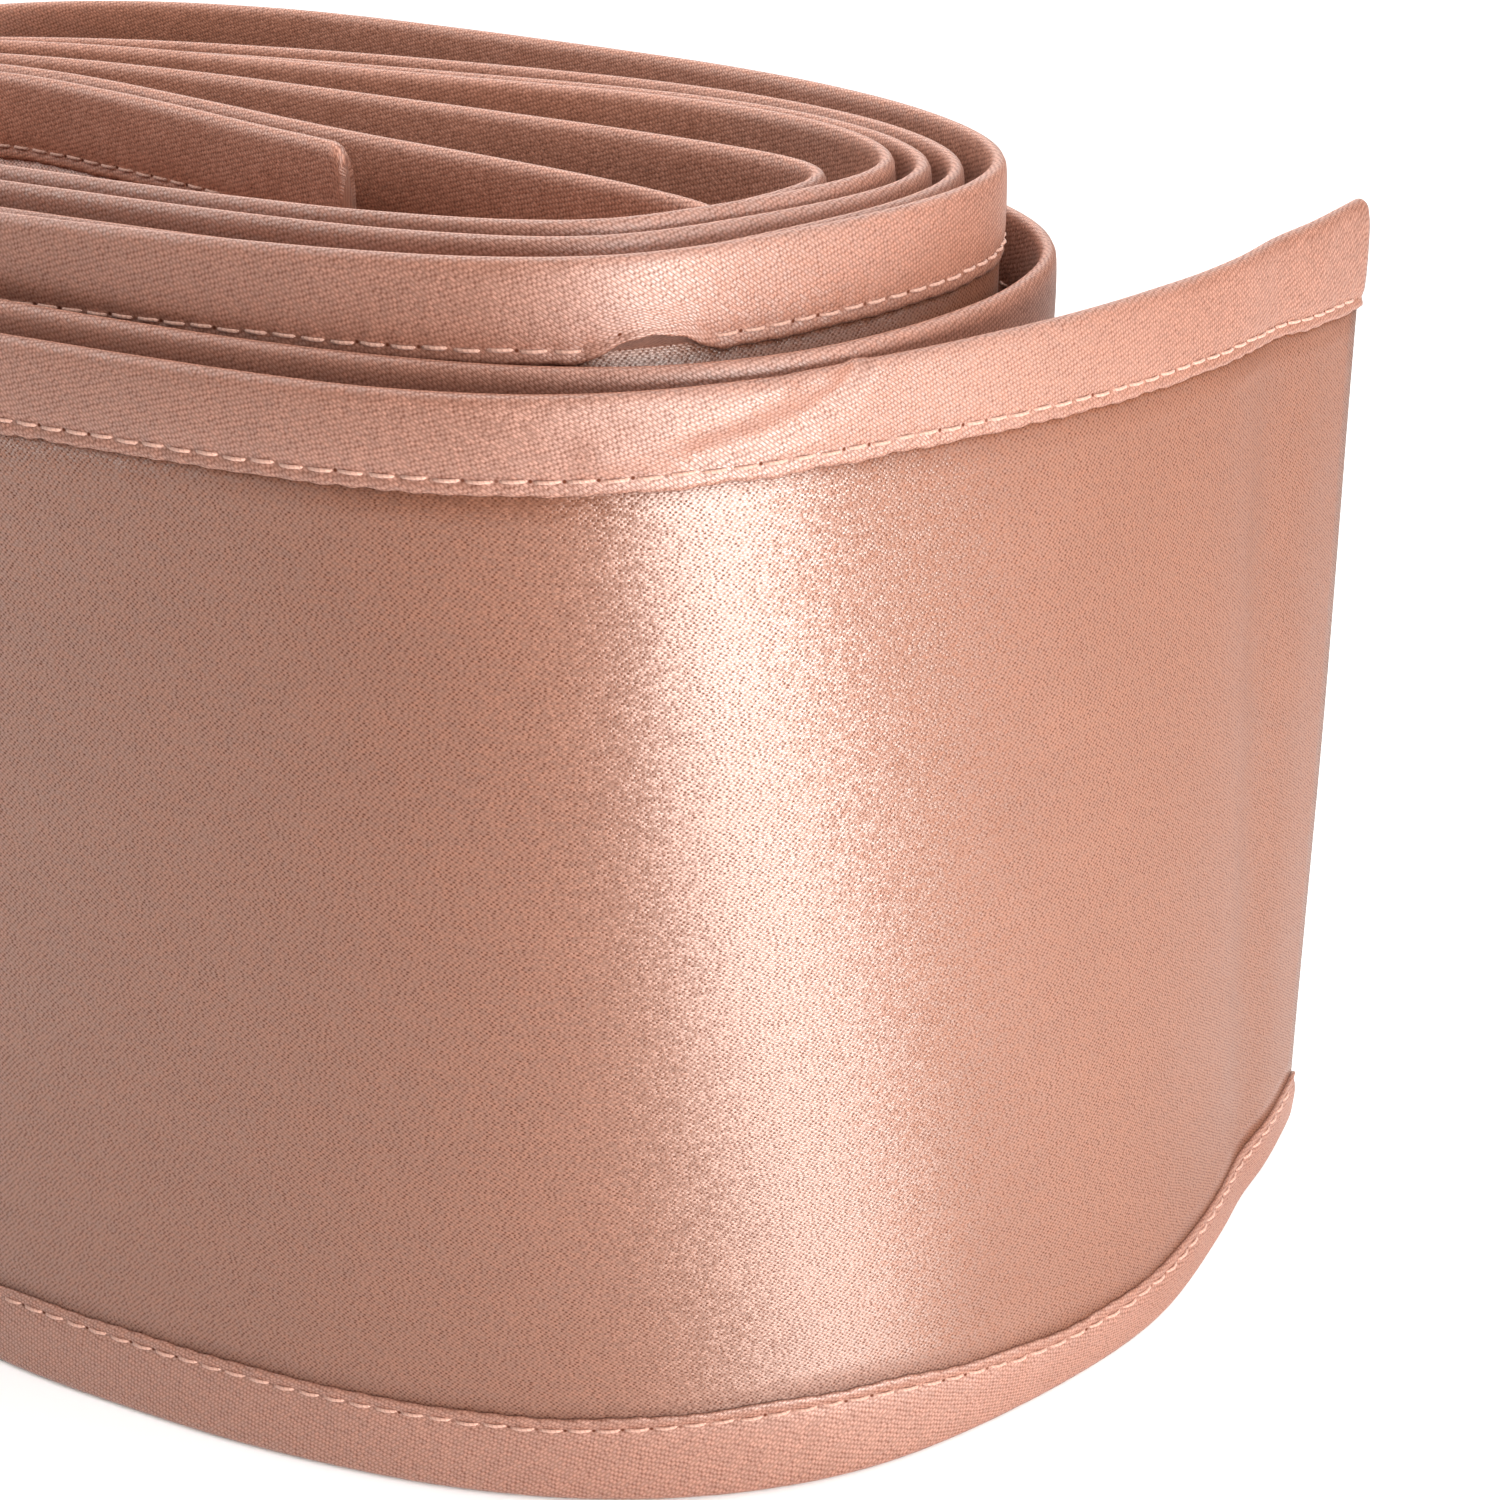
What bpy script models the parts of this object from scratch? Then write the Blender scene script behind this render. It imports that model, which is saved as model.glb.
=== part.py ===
"""A wide satin belt, wound into a loose slanted oval roll that stands on its lower edge.

The belt is one long strip of double satin. Both long edges are bound with a folded strip of the
same satin cut on the bias. The outer end lies free to the right of the roll and reaches back, the
inner end curls free in the hollow. Each stretch of the strip is three solids: the body, the top
binding and the foot binding.

The tables and the path are in millimetres, the meshes in metres. +X is right, +Y is back, +Z is up,
and the walk along the belt goes from its free outer end inwards.
"""
import math
from typing import NamedTuple

import bmesh
import bpy
import numpy as np

MM = 0.001

# Cloth
BELT_WIDTH = 100.0       # from edge to edge, bindings included
BODY_WALL = 1.0
BINDING_WALL = 1.4
FOLD_BEVEL = 0.35        # rounds the two corners of a binding's outer fold
TOP_BINDING = 8.0        # width of the upper binding in the roll
FOOT_BINDING = 9.0       # width of the lower binding in the roll
SEAM_GAP = 0.3           # between a body and its bindings, and between two stretches
END_OVERHANG = 0.6       # the bindings run past the body at the belt's two cut ends

# How finely the path is followed
LONGEST_STEP = 11.0
LARGEST_TURN = math.radians(11.0)
PATH_TABLE_STEP = 0.5
CHORD_POWER = 0.75       # spreads the spline's knots, which keeps it calm at the narrow ends

# The roll is laid out from a slanted spine between two hubs in its hollow
RIGHT_HUB = np.array((21.05, -35.45))
LEFT_HUB = np.array((-44.95, -2.95))


class Ray(NamedTuple):
    """A straight line out of the spine, on which every turn of the roll has one station."""

    spine_share: float   # where it starts, from 0 at the right hub to 1 at the left hub
    bearing: float       # degrees from +X towards +Y


RAYS = {
    "front_right": Ray(0.0, -42.0),
    "front": Ray(0.0, -90.0),
    "front_left": Ray(0.36, -120.0),
    "left_front": Ray(1.0, -120.0),
    "left": Ray(1.0, 178.0),
    "back_left": Ray(1.0, 130.0),
    "back": Ray(1.0, 90.0),
    "back_right": Ray(0.5, 66.0),
    "right_back": Ray(0.0, 62.0),
    "right": Ray(0.0, 20.0),
}


class Turn(NamedTuple):
    """Reach of one turn of the roll along each ray, in the order in which the belt meets them."""

    front_right: float
    front: float
    front_left: float
    left_front: float
    left: float
    back_left: float
    back: float
    back_right: float
    right_back: float
    right: float


TURNS = (
    Turn(31.2, 25.2, 31.3, 28.5, 43.5, 57.0, 63.5, 63.0, 52.3, 39.6),
    Turn(23.6, 21.1, 25.8, 25.0, 40.2, 54.0, 59.7, 58.2, 47.3, 34.5),
    Turn(17.9, 18.4, 22.9, 22.0, 37.2, 43.0, 39.8, 45.5, 40.6, 30.7),
    Turn(15.6, 16.4, 20.5, 19.5, 34.4, 39.0, 35.6, 39.6, 36.2, 27.6),
    Turn(13.5, 14.4, 18.1, 17.0, 31.6, 35.4, 31.6, 33.0, 31.3, 24.4),
    Turn(11.3, 11.8, 15.7, 14.4, 28.6, 31.8, 27.2, 24.4, 19.6, 18.6),
    Turn(8.4, 8.8, 12.8, 11.4, 25.2, 27.6, 21.6, 15.2, 9.8, 10.4),
)
INNER_TURN = {"front_right": 6.0, "front": 5.8, "front_left": 9.8, "left_front": 8.4, "left": 21.4,
              "back_left": 22.4, "back": 15.6, "back_right": 6.3}
INNER_END = (-0.75, -21.45)


class Rise(NamedTuple):
    """Height of the lower edge above the floor on the four sides of a turn: the roll is telescoped."""

    front: float
    left: float
    back: float
    right: float


RISES = (
    Rise(0.0, 0.0, 0.0, 0.8),
    Rise(0.8, 3.5, 8.3, 8.3),
    Rise(8.3, 6.5, 8.0, 8.0),
    Rise(7.4, 7.0, 8.0, 8.5),
    Rise(8.8, 8.5, 9.2, 9.3),
    Rise(9.4, 8.8, 8.8, 8.8),
    Rise(7.5, 7.0, 9.0, 6.0),
    Rise(5.5, 7.0, 9.5, 9.5),
)


class Tail(NamedTuple):
    """A station of the free end: where its foot stands, how far its top leans towards the roll."""

    x: float
    y: float
    lean: float
    top_binding: float
    foot_binding: float


FREE_END = (
    Tail(90.95, 0.25, 1.2, 10.6, 5.8),
    Tail(85.45, -11.55, 3.0, 9.6, 5.8),
    Tail(79.15, -23.15, 4.6, 8.6, 5.8),
    Tail(69.75, -37.55, 6.6, 8.2, 5.8),
    Tail(57.65, -48.05, 6.2, 7.8, 6.6),
)
# The outermost front leans the same way, less and less towards the left
FRONT_LEANS = {"front_right": 5.2, "front": 0.2, "front_left": 2.4, "left_front": 0.8}
FRONT_TOP_BINDING = {"front_right": 7.5, "front": 7.5, "front_left": 7.8}

STRETCHES = ("free_end", "turn_1", "turn_2", "turn_3", "turn_4", "turn_5", "turn_6", "turn_7", "inner_end")


class Station(NamedTuple):
    """What the path passes through: a foot point and the belt's stance there."""

    x: float
    y: float
    lean: float
    rise: float
    top_binding: float
    foot_binding: float


CLOSING_RAY = "left"     # every turn's stretch ends where the belt crosses this ray


def ray_point(ray_name, reach):
    """Return the plan point at a distance along a ray."""
    ray = RAYS[ray_name]
    start = RIGHT_HUB + ray.spine_share * (LEFT_HUB - RIGHT_HUB)
    angle = math.radians(ray.bearing)
    return start + reach * np.array((math.cos(angle), math.sin(angle)))


def turn_rises(index):
    """Return the lower edge's height at every ray of a turn, eased between its four sides."""
    front, left, back, right = RISES[index]
    last_right = RISES[index - 1].right if index else front
    return {
        "front_right": 0.5 * (last_right + front),
        "front": front,
        "front_left": front + 0.25 * (left - front),
        "left_front": front + 0.70 * (left - front),
        "left": left,
        "back_left": 0.5 * (left + back),
        "back": back,
        "back_right": back + 0.40 * (right - back),
        "right_back": back + 0.75 * (right - back),
        "right": right,
    }


def stations():
    """List the belt's stations from the free end to the inner end, and which of them close a stretch."""
    found = [Station(t.x, t.y, t.lean, 0.0, t.top_binding, t.foot_binding) for t in FREE_END]
    closing = []
    turns = [turn._asdict() for turn in TURNS] + [INNER_TURN]
    for index, turn in enumerate(turns):
        rises = turn_rises(index)
        for ray_name, reach in turn.items():
            x, y = ray_point(ray_name, reach)
            outermost = index == 0
            lean = FRONT_LEANS.get(ray_name, 0.0) if outermost else 0.0
            top = FRONT_TOP_BINDING.get(ray_name, TOP_BINDING) if outermost else TOP_BINDING
            if ray_name == CLOSING_RAY:
                closing.append(len(found))
            found.append(Station(x, y, lean, rises[ray_name], top, FOOT_BINDING))
    found.append(Station(*INNER_END, 0.0, RISES[-1].right, TOP_BINDING, FOOT_BINDING))
    return found, closing


def natural_spline(knots, values):
    """Return a function of the natural cubic spline through values at the knots."""
    count = len(knots)
    spans = np.diff(knots)
    slopes = np.diff(values, axis=0) / spans[:, None]
    matrix = np.eye(count)
    target = np.zeros_like(values)
    for i in range(1, count - 1):
        matrix[i, i - 1:i + 2] = spans[i - 1], 2 * (spans[i - 1] + spans[i]), spans[i]
        target[i] = 6 * (slopes[i] - slopes[i - 1])
    bends = np.linalg.solve(matrix, target)

    def evaluate(at):
        i = np.clip(np.searchsorted(knots, at) - 1, 0, count - 2)
        span = spans[i][:, None]
        after = (at - knots[i])[:, None]
        before = span - after
        cubic = (bends[i] * before ** 3 + bends[i + 1] * after ** 3) / (6 * span)
        start = values[i] / span - bends[i] * span / 6
        end = values[i + 1] / span - bends[i + 1] * span / 6
        return cubic + start * before + end * after

    return evaluate


class BeltPath:
    """The wound strip as a surface: distance along it, height across it, offset out of it."""

    def __init__(self):
        rows, closing = stations()
        values = np.array(rows)
        chords = np.hypot(*np.diff(values[:, :2], axis=0).T)
        knots = np.concatenate(([0.0], np.cumsum(chords ** CHORD_POWER)))
        samples = np.linspace(0.0, knots[-1], int(chords.sum() / PATH_TABLE_STEP))
        self.columns = dict(zip(Station._fields, natural_spline(knots, values)(samples).T))
        self.columns["rise"] = np.maximum(self.columns["rise"], 0.0)

        feet = np.column_stack((self.columns["x"], self.columns["y"]))
        runs = np.hypot(*np.diff(feet, axis=0).T)
        self.distances = np.concatenate(([0.0], np.cumsum(runs)))
        self.length = self.distances[-1]
        self.closings = np.interp(knots[closing], samples, self.distances)
        slopes = np.gradient(feet, self.distances, axis=0)
        self.columns["heading"] = np.unwrap(np.arctan2(slopes[:, 1], slopes[:, 0]))
        bend = np.abs(np.gradient(self.columns["heading"], self.distances))
        density = np.maximum(bend / LARGEST_TURN, 1 / LONGEST_STEP)
        self.step_count = np.concatenate(([0.0], np.cumsum(0.5 * (density[1:] + density[:-1]) * runs)))

    def read(self, distance, column):
        """Return one of the path's columns at a distance."""
        return float(np.interp(distance, self.distances, self.columns[column]))

    def point(self, distance, height, outward):
        """Return the place, in metres, at a height across the belt and an offset out of its wall."""
        heading = self.read(distance, "heading")
        inward = self.read(distance, "lean") * height / BELT_WIDTH - outward
        x = self.read(distance, "x") + inward * math.sin(heading)
        y = self.read(distance, "y") - inward * math.cos(heading)
        return MM * x, MM * y, MM * (self.read(distance, "rise") + height)

    def steps(self, start, end):
        """List distances from start to end, closer together where the belt bends more."""
        first, last = np.interp((start, end), self.distances, self.step_count)
        count = max(2, math.ceil(last - first))
        return np.interp(np.linspace(first, last, count + 1), self.step_count, self.distances)


def body_section(path, distance):
    """Return the body's section as (height, outward) corners, counterclockwise seen along the walk."""
    low = path.read(distance, "foot_binding") + SEAM_GAP
    high = BELT_WIDTH - path.read(distance, "top_binding") - SEAM_GAP
    half = 0.5 * BODY_WALL
    return [(low, -half), (low, half), (high, half), (high, -half)]


def top_binding_section(path, distance):
    """Return the upper binding's section, with its fold on top."""
    return binding_section(BELT_WIDTH - path.read(distance, "top_binding"), BELT_WIDTH)


def foot_binding_section(path, distance):
    """Return the lower binding's section, with the flat of its fold underneath."""
    return binding_section(path.read(distance, "foot_binding"), 0.0)[::-1]


def binding_section(seam, fold):
    """Return a binding's corners: square at the seam's height, rounded at the fold's height."""
    half = 0.5 * BINDING_WALL
    bevel = math.copysign(FOLD_BEVEL, fold - seam)
    return [
        (seam, -half),
        (seam, half),
        (fold - bevel, half),
        (fold, half - FOLD_BEVEL),
        (fold, FOLD_BEVEL - half),
        (fold - bevel, -half),
    ]


def loft(name, path, section, distances, material):
    """Skin a section along the path and close both of its ends.

    The faces are made here, because the sections differ all along the belt: in their height above
    the floor, in their lean and in where the bindings end.
    """
    shape = bmesh.new()
    rings = []
    for distance in distances:
        corners = section(path, distance)
        rings.append([shape.verts.new(path.point(distance, height, outward)) for height, outward in corners])
    for ring, following in zip(rings, rings[1:]):
        for i in range(len(ring)):
            j = (i + 1) % len(ring)
            shape.faces.new((ring[i], ring[j], following[j], following[i]))
    shape.faces.new(rings[0][::-1])
    shape.faces.new(rings[-1])
    bmesh.ops.recalc_face_normals(shape, faces=shape.faces)
    mesh = bpy.data.meshes.new(name)
    shape.to_mesh(mesh)
    shape.free()
    mesh.shade_smooth()
    mesh.set_sharp_from_angle(angle=math.radians(50.0))
    mesh.materials.append(material)
    return bpy.data.objects.new(name, mesh)


def satin(name, colour, roughness):
    """Make a plain cloth material."""
    material = bpy.data.materials.new(name)
    material.use_nodes = True
    shader = material.node_tree.nodes["Principled BSDF"]
    shader.inputs["Base Color"].default_value = (*colour, 1.0)
    shader.inputs["Roughness"].default_value = roughness
    shader.inputs["Metallic"].default_value = 0.0
    return material


def stretch_ends(path, index):
    """Return where a stretch starts and ends, half a seam gap short of its neighbours."""
    bounds = np.concatenate(([0.0], path.closings, [path.length]))
    start = bounds[index] + (0.5 * SEAM_GAP if index else 0.0)
    end = bounds[index + 1] - (0.5 * SEAM_GAP if index + 1 < len(STRETCHES) else 0.0)
    return start, end


def build_stretch(path, index, body_material, binding_material):
    """Build the body and the two bindings of one stretch on the same steps."""
    name = STRETCHES[index]
    distances = path.steps(*stretch_ends(path, index))
    body_distances = distances.copy()
    if index == 0:
        body_distances[0] += END_OVERHANG
    if index == len(STRETCHES) - 1:
        body_distances[-1] -= END_OVERHANG
    return [
        loft(f"{name}_body", path, body_section, body_distances, body_material),
        loft(f"{name}_top_binding", path, top_binding_section, distances, binding_material),
        loft(f"{name}_foot_binding", path, foot_binding_section, distances, binding_material),
    ]


def clear_scene():
    """Remove whatever objects the file holds."""
    for thing in list(bpy.data.objects):
        bpy.data.objects.remove(thing, do_unlink=True)


def main():
    """Build the wound belt in a collection of its own."""
    clear_scene()
    collection = bpy.data.collections.new("satin_belt")
    bpy.context.scene.collection.children.link(collection)
    body_material = satin("satin_body", (0.52, 0.27, 0.20), 0.34)
    binding_material = satin("satin_binding", (0.64, 0.36, 0.28), 0.45)
    path = BeltPath()
    for index in range(len(STRETCHES)):
        for piece in build_stretch(path, index, body_material, binding_material):
            collection.objects.link(piece)


main()
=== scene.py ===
"""Looks of a wide satin belt, wound into a loose slanted oval roll that stands on its lower edge.

A place on the belt has three numbers, in millimetres: the distance walked along it from its free
end inwards, the height across it from its lower edge, and the offset out of its middle surface.
Meshes, lights and the camera are in metres. +X is right, +Y is back and +Z is up.
"""
from __future__ import annotations

import logging
import math
from dataclasses import dataclass, field
from enum import Enum
from typing import Any, NamedTuple, Optional, Union

import bpy
import numpy as np
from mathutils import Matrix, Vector

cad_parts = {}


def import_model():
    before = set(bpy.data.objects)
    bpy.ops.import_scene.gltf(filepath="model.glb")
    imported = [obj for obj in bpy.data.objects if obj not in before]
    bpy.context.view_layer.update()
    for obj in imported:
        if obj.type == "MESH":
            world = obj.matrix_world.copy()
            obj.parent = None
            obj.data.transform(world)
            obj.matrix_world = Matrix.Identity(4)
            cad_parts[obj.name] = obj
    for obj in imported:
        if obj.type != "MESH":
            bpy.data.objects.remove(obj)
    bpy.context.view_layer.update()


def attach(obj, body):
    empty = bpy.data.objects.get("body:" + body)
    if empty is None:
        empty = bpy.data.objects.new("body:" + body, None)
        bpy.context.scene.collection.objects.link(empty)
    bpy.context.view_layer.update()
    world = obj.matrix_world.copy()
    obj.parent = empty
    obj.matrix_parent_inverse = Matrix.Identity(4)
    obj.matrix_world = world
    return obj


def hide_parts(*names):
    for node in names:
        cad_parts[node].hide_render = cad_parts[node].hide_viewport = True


MM = 0.001
LOG = logging.getLogger("satin_belt")
PLACE = "belt_place"        # mesh attribute: distance, width round the section, distance from the lip
REVERSE = "belt_reverse"    # mesh attribute: 1 on the belt's inner face, 0 on its outer one
STITCH_PITCH = 2.45         # from stitch to stitch
STITCH_LINE = 1.15          # from a binding's lip to its row of stitches
Colour = tuple[float, float, float]


class Ray(NamedTuple):
    """A line out of the roll's slanted spine, on which every turn has one station."""

    spine_share: float
    bearing: float


RAYS = {
    "front_right": Ray(0.0, -42.0),
    "front": Ray(0.0, -90.0),
    "front_left": Ray(0.36, -120.0),
    "left_front": Ray(1.0, -120.0),
    "left": Ray(1.0, 178.0),
    "back_left": Ray(1.0, 130.0),
    "back": Ray(1.0, 90.0),
    "back_right": Ray(0.5, 66.0),
    "right_back": Ray(0.0, 62.0),
    "right": Ray(0.0, 20.0),
}


class Turn(NamedTuple):
    """Reach of one turn along each ray, in the order in which the belt meets them."""

    front_right: float
    front: float
    front_left: float
    left_front: float
    left: float
    back_left: float
    back: float
    back_right: float
    right_back: float
    right: float


TURNS = (
    Turn(31.2, 25.2, 31.3, 28.5, 43.5, 57.0, 63.5, 63.0, 52.3, 39.6),
    Turn(23.6, 21.1, 25.8, 25.0, 40.2, 54.0, 59.7, 58.2, 47.3, 34.5),
    Turn(17.9, 18.4, 22.9, 22.0, 37.2, 43.0, 39.8, 45.5, 40.6, 30.7),
    Turn(15.6, 16.4, 20.5, 19.5, 34.4, 39.0, 35.6, 39.6, 36.2, 27.6),
    Turn(13.5, 14.4, 18.1, 17.0, 31.6, 35.4, 31.6, 33.0, 31.3, 24.4),
    Turn(11.3, 11.8, 15.7, 14.4, 28.6, 31.8, 27.2, 24.4, 19.6, 18.6),
    Turn(8.4, 8.8, 12.8, 11.4, 25.2, 27.6, 21.6, 15.2, 9.8, 10.4),
)
INNER_TURN = {"front_right": 6.0, "front": 5.8, "front_left": 9.8, "left_front": 8.4, "left": 21.4,
              "back_left": 22.4, "back": 15.6, "back_right": 6.3}


class Rise(NamedTuple):
    """Height of the lower edge above the floor on the four sides of a turn."""

    front: float
    left: float
    back: float
    right: float


RISES = (
    Rise(0.0, 0.0, 0.0, 0.8),
    Rise(0.8, 3.5, 8.3, 8.3),
    Rise(8.3, 6.5, 8.0, 8.0),
    Rise(7.4, 7.0, 8.0, 8.5),
    Rise(8.8, 8.5, 9.2, 9.3),
    Rise(9.4, 8.8, 8.8, 8.8),
    Rise(7.5, 7.0, 9.0, 6.0),
    Rise(5.5, 7.0, 9.5, 9.5),
)


class Between(NamedTuple):
    """Where a ray lies between two sides of a turn."""

    side: str
    next_side: str
    share: float


BETWEEN = {
    "front_left": Between("front", "left", 0.25),
    "left_front": Between("front", "left", 0.70),
    "back_left": Between("left", "back", 0.50),
    "back_right": Between("back", "right", 0.40),
    "right_back": Between("back", "right", 0.75),
}


class Tail(NamedTuple):
    """A station of the free end: its foot, its top's lean towards the roll, its bindings' widths."""

    x: float
    y: float
    lean: float
    upper: float
    lower: float


FREE_END = (
    Tail(90.95, 0.25, 1.2, 10.6, 5.8),
    Tail(85.45, -11.55, 3.0, 9.6, 5.8),
    Tail(79.15, -23.15, 4.6, 8.6, 5.8),
    Tail(69.75, -37.55, 6.6, 8.2, 5.8),
    Tail(57.65, -48.05, 6.2, 7.8, 6.6),
)
FRONT_LEANS = {"front_right": 5.2, "front": 0.2, "front_left": 2.4, "left_front": 0.8}
FRONT_UPPERS = {"front_right": 7.5, "front": 7.5, "front_left": 7.8}

STRETCHES = ("free_end", "turn_1", "turn_2", "turn_3", "turn_4", "turn_5", "turn_6", "turn_7", "inner_end")


class Station(NamedTuple):
    """What the path passes through: a foot point and the belt's stance there."""

    x: float
    y: float
    lean: float
    rise: float
    upper: float
    lower: float


class Edge(Enum):
    """One of the belt's two long edges; the value is the path's column with its binding's width."""

    UPPER = "upper"
    LOWER = "lower"


class Side(Enum):
    """One of the belt's two faces; the value is the sign of its offset."""

    OUTER = 1.0
    INNER = -1.0


@dataclass
class WoundPath:
    """The line along which the belt is wound, its lean and rise, and its bindings' widths."""

    width: float = 100.0
    right_hub: tuple[float, float] = (21.05, -35.45)
    left_hub: tuple[float, float] = (-44.95, -2.95)
    inner_end: tuple[float, float] = (-0.75, -21.45)
    upper: float = 8.0
    lower: float = 9.0
    closing_ray: str = "left"
    chord_power: float = 0.75
    table_step: float = 0.25
    columns: dict[str, np.ndarray] = field(default_factory=dict)
    distances: np.ndarray = field(default_factory=lambda: np.zeros(0))
    bounds: np.ndarray = field(default_factory=lambda: np.zeros(0))

    def __post_init__(self) -> None:
        """Trace the path through its stations."""
        rows, closing = self.stations()
        values = np.array(rows)
        chords = np.hypot(*np.diff(values[:, :2], axis=0).T)
        knots = np.concatenate(([0.0], np.cumsum(chords ** self.chord_power)))
        samples = np.linspace(0.0, knots[-1], int(chords.sum() / self.table_step))
        self.columns = dict(zip(Station._fields, natural_spline(knots, values, samples).T))
        self.columns["rise"] = np.maximum(self.columns["rise"], 0.0)
        feet = np.column_stack((self.columns["x"], self.columns["y"]))
        runs = np.hypot(*np.diff(feet, axis=0).T)
        self.distances = np.concatenate(([0.0], np.cumsum(runs)))
        slopes = np.gradient(feet, self.distances, axis=0)
        self.columns["heading"] = np.unwrap(np.arctan2(slopes[:, 1], slopes[:, 0]))
        closings = np.interp(knots[closing], samples, self.distances)
        self.bounds = np.concatenate(([0.0], closings, [self.distances[-1]]))

    def ray_point(self, name: str, reach: float) -> tuple[float, float]:
        """Find a plan point.

        Args:
            name: the ray that it lies on.
            reach: its distance from the spine.

        Returns:
            The point's x and y.
        """
        ray = RAYS[name]
        angle = math.radians(ray.bearing)
        right, left = self.right_hub, self.left_hub
        x = right[0] + ray.spine_share * (left[0] - right[0]) + reach * math.cos(angle)
        y = right[1] + ray.spine_share * (left[1] - right[1]) + reach * math.sin(angle)
        return x, y

    def stations(self) -> tuple[list[Station], list[int]]:
        """List the stations from the free end inwards.

        Returns:
            The stations, and the places in that list where a stretch closes.
        """
        found = [Station(t.x, t.y, t.lean, 0.0, t.upper, t.lower) for t in FREE_END]
        closing = []
        turns = [turn._asdict() for turn in TURNS] + [INNER_TURN]
        for index, turn in enumerate(turns):
            rises = turn_rises(index)
            leans, uppers = (FRONT_LEANS, FRONT_UPPERS) if index == 0 else ({}, {})
            for name, reach in turn.items():
                x, y = self.ray_point(name, reach)
                if name == self.closing_ray:
                    closing.append(len(found))
                lean, upper = leans.get(name, 0.0), uppers.get(name, self.upper)
                found.append(Station(x, y, lean, rises[name], upper, self.lower))
        found.append(Station(*self.inner_end, 0.0, RISES[-1].right, self.upper, self.lower))
        return found, closing

    def read(self, column: str, distance: np.ndarray) -> np.ndarray:
        """Read a field of Station, or the heading, at distances along the belt."""
        return np.interp(distance, self.distances, self.columns[column])

    def binding_width(self, edge: Edge, distance: np.ndarray) -> np.ndarray:
        """Read how wide an edge's binding is at distances along the belt."""
        return self.read(edge.value, distance)

    def place(self, distance: np.ndarray, height: np.ndarray, outward: np.ndarray) -> np.ndarray:
        """Turn belt places into points.

        Args:
            distance: how far along the belt.
            height: how high across it.
            outward: how far out of its middle surface.

        Returns:
            Points in metres, with x, y and z in the last axis.
        """
        distance, height, outward = np.broadcast_arrays(distance, height, outward)
        heading = self.read("heading", distance)
        inward = self.read("lean", distance) * height / self.width - outward
        x = self.read("x", distance) + inward * np.sin(heading)
        y = self.read("y", distance) - inward * np.cos(heading)
        return MM * np.stack((x, y, self.read("rise", distance) + height), axis=-1)


def turn_rises(index: int) -> dict[str, float]:
    """Ease the lower edge's height between the four sides of a turn.

    Args:
        index: the turn, 0 for the outermost.

    Returns:
        The height at every ray.
    """
    rises = RISES[index]._asdict()
    last_right = RISES[index - 1].right if index else rises["front"]
    between = {
        ray: rises[place.side] + place.share * (rises[place.next_side] - rises[place.side])
        for ray, place in BETWEEN.items()
    }
    return rises | between | {"front_right": 0.5 * (last_right + rises["front"])}


def natural_spline(knots: np.ndarray, values: np.ndarray, at: np.ndarray) -> np.ndarray:
    """Evaluate the natural cubic spline through values at knots.

    Args:
        knots: where the values are, rising.
        values: one row for each knot.
        at: where to evaluate.

    Returns:
        One row for each place in at.
    """
    count = len(knots)
    spans = np.diff(knots)
    slopes = np.diff(values, axis=0) / spans[:, None]
    matrix, target = np.eye(count), np.zeros_like(values)
    for i in range(1, count - 1):
        matrix[i, i - 1:i + 2] = spans[i - 1], 2 * (spans[i - 1] + spans[i]), spans[i]
        target[i] = 6 * (slopes[i] - slopes[i - 1])
    bends = np.linalg.solve(matrix, target)
    i = np.clip(np.searchsorted(knots, at) - 1, 0, count - 2)
    span = spans[i][:, None]
    after = (at - knots[i])[:, None]
    before = span - after
    start = values[i] / span - bends[i] * span / 6
    end = values[i + 1] / span - bends[i + 1] * span / 6
    return (bends[i] * before ** 3 + bends[i + 1] * after ** 3) / (6 * span) + start * before + end * after


@dataclass(frozen=True)
class Crease:
    """A soft ridge, or a trough where its lift is negative, at a place on the belt."""

    distance: float
    height: float
    slant: float         # degrees from upright towards the inner end
    length: float
    width: float
    lift: float

    def at(self, distance: np.ndarray, height: np.ndarray) -> np.ndarray:
        """Work out how far the crease moves the cloth outwards.

        Args:
            distance: how far along the belt.
            height: how high across it.

        Returns:
            The offsets.
        """
        angle = math.radians(self.slant)
        x, z = distance - self.distance, height - self.height
        across = x * math.cos(angle) - z * math.sin(angle)
        along = x * math.sin(angle) + z * math.cos(angle)
        return self.lift * np.exp(-(across / self.width) ** 2 - (along / self.length) ** 4)


@dataclass(frozen=True)
class FoldLine:
    """A soft curved fold, drawn as a run of belt places."""

    course: tuple[tuple[float, float], ...]
    width: float
    lift: float

    def at(self, distance: np.ndarray, height: np.ndarray) -> np.ndarray:
        """Work out how far the fold moves the cloth outwards.

        Args:
            distance: how far along the belt.
            height: how high across it.

        Returns:
            The offsets.
        """
        nearest = np.full(np.shape(distance), np.inf)
        for (x0, z0), (x1, z1) in zip(self.course, self.course[1:]):
            run = (x1 - x0, z1 - z0)
            share = ((distance - x0) * run[0] + (height - z0) * run[1]) / (run[0] ** 2 + run[1] ** 2)
            share = np.clip(share, 0.0, 1.0)
            away = np.hypot(distance - x0 - share * run[0], height - z0 - share * run[1])
            nearest = np.minimum(nearest, away)
        return self.lift * np.exp(-(nearest / self.width) ** 2)


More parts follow.
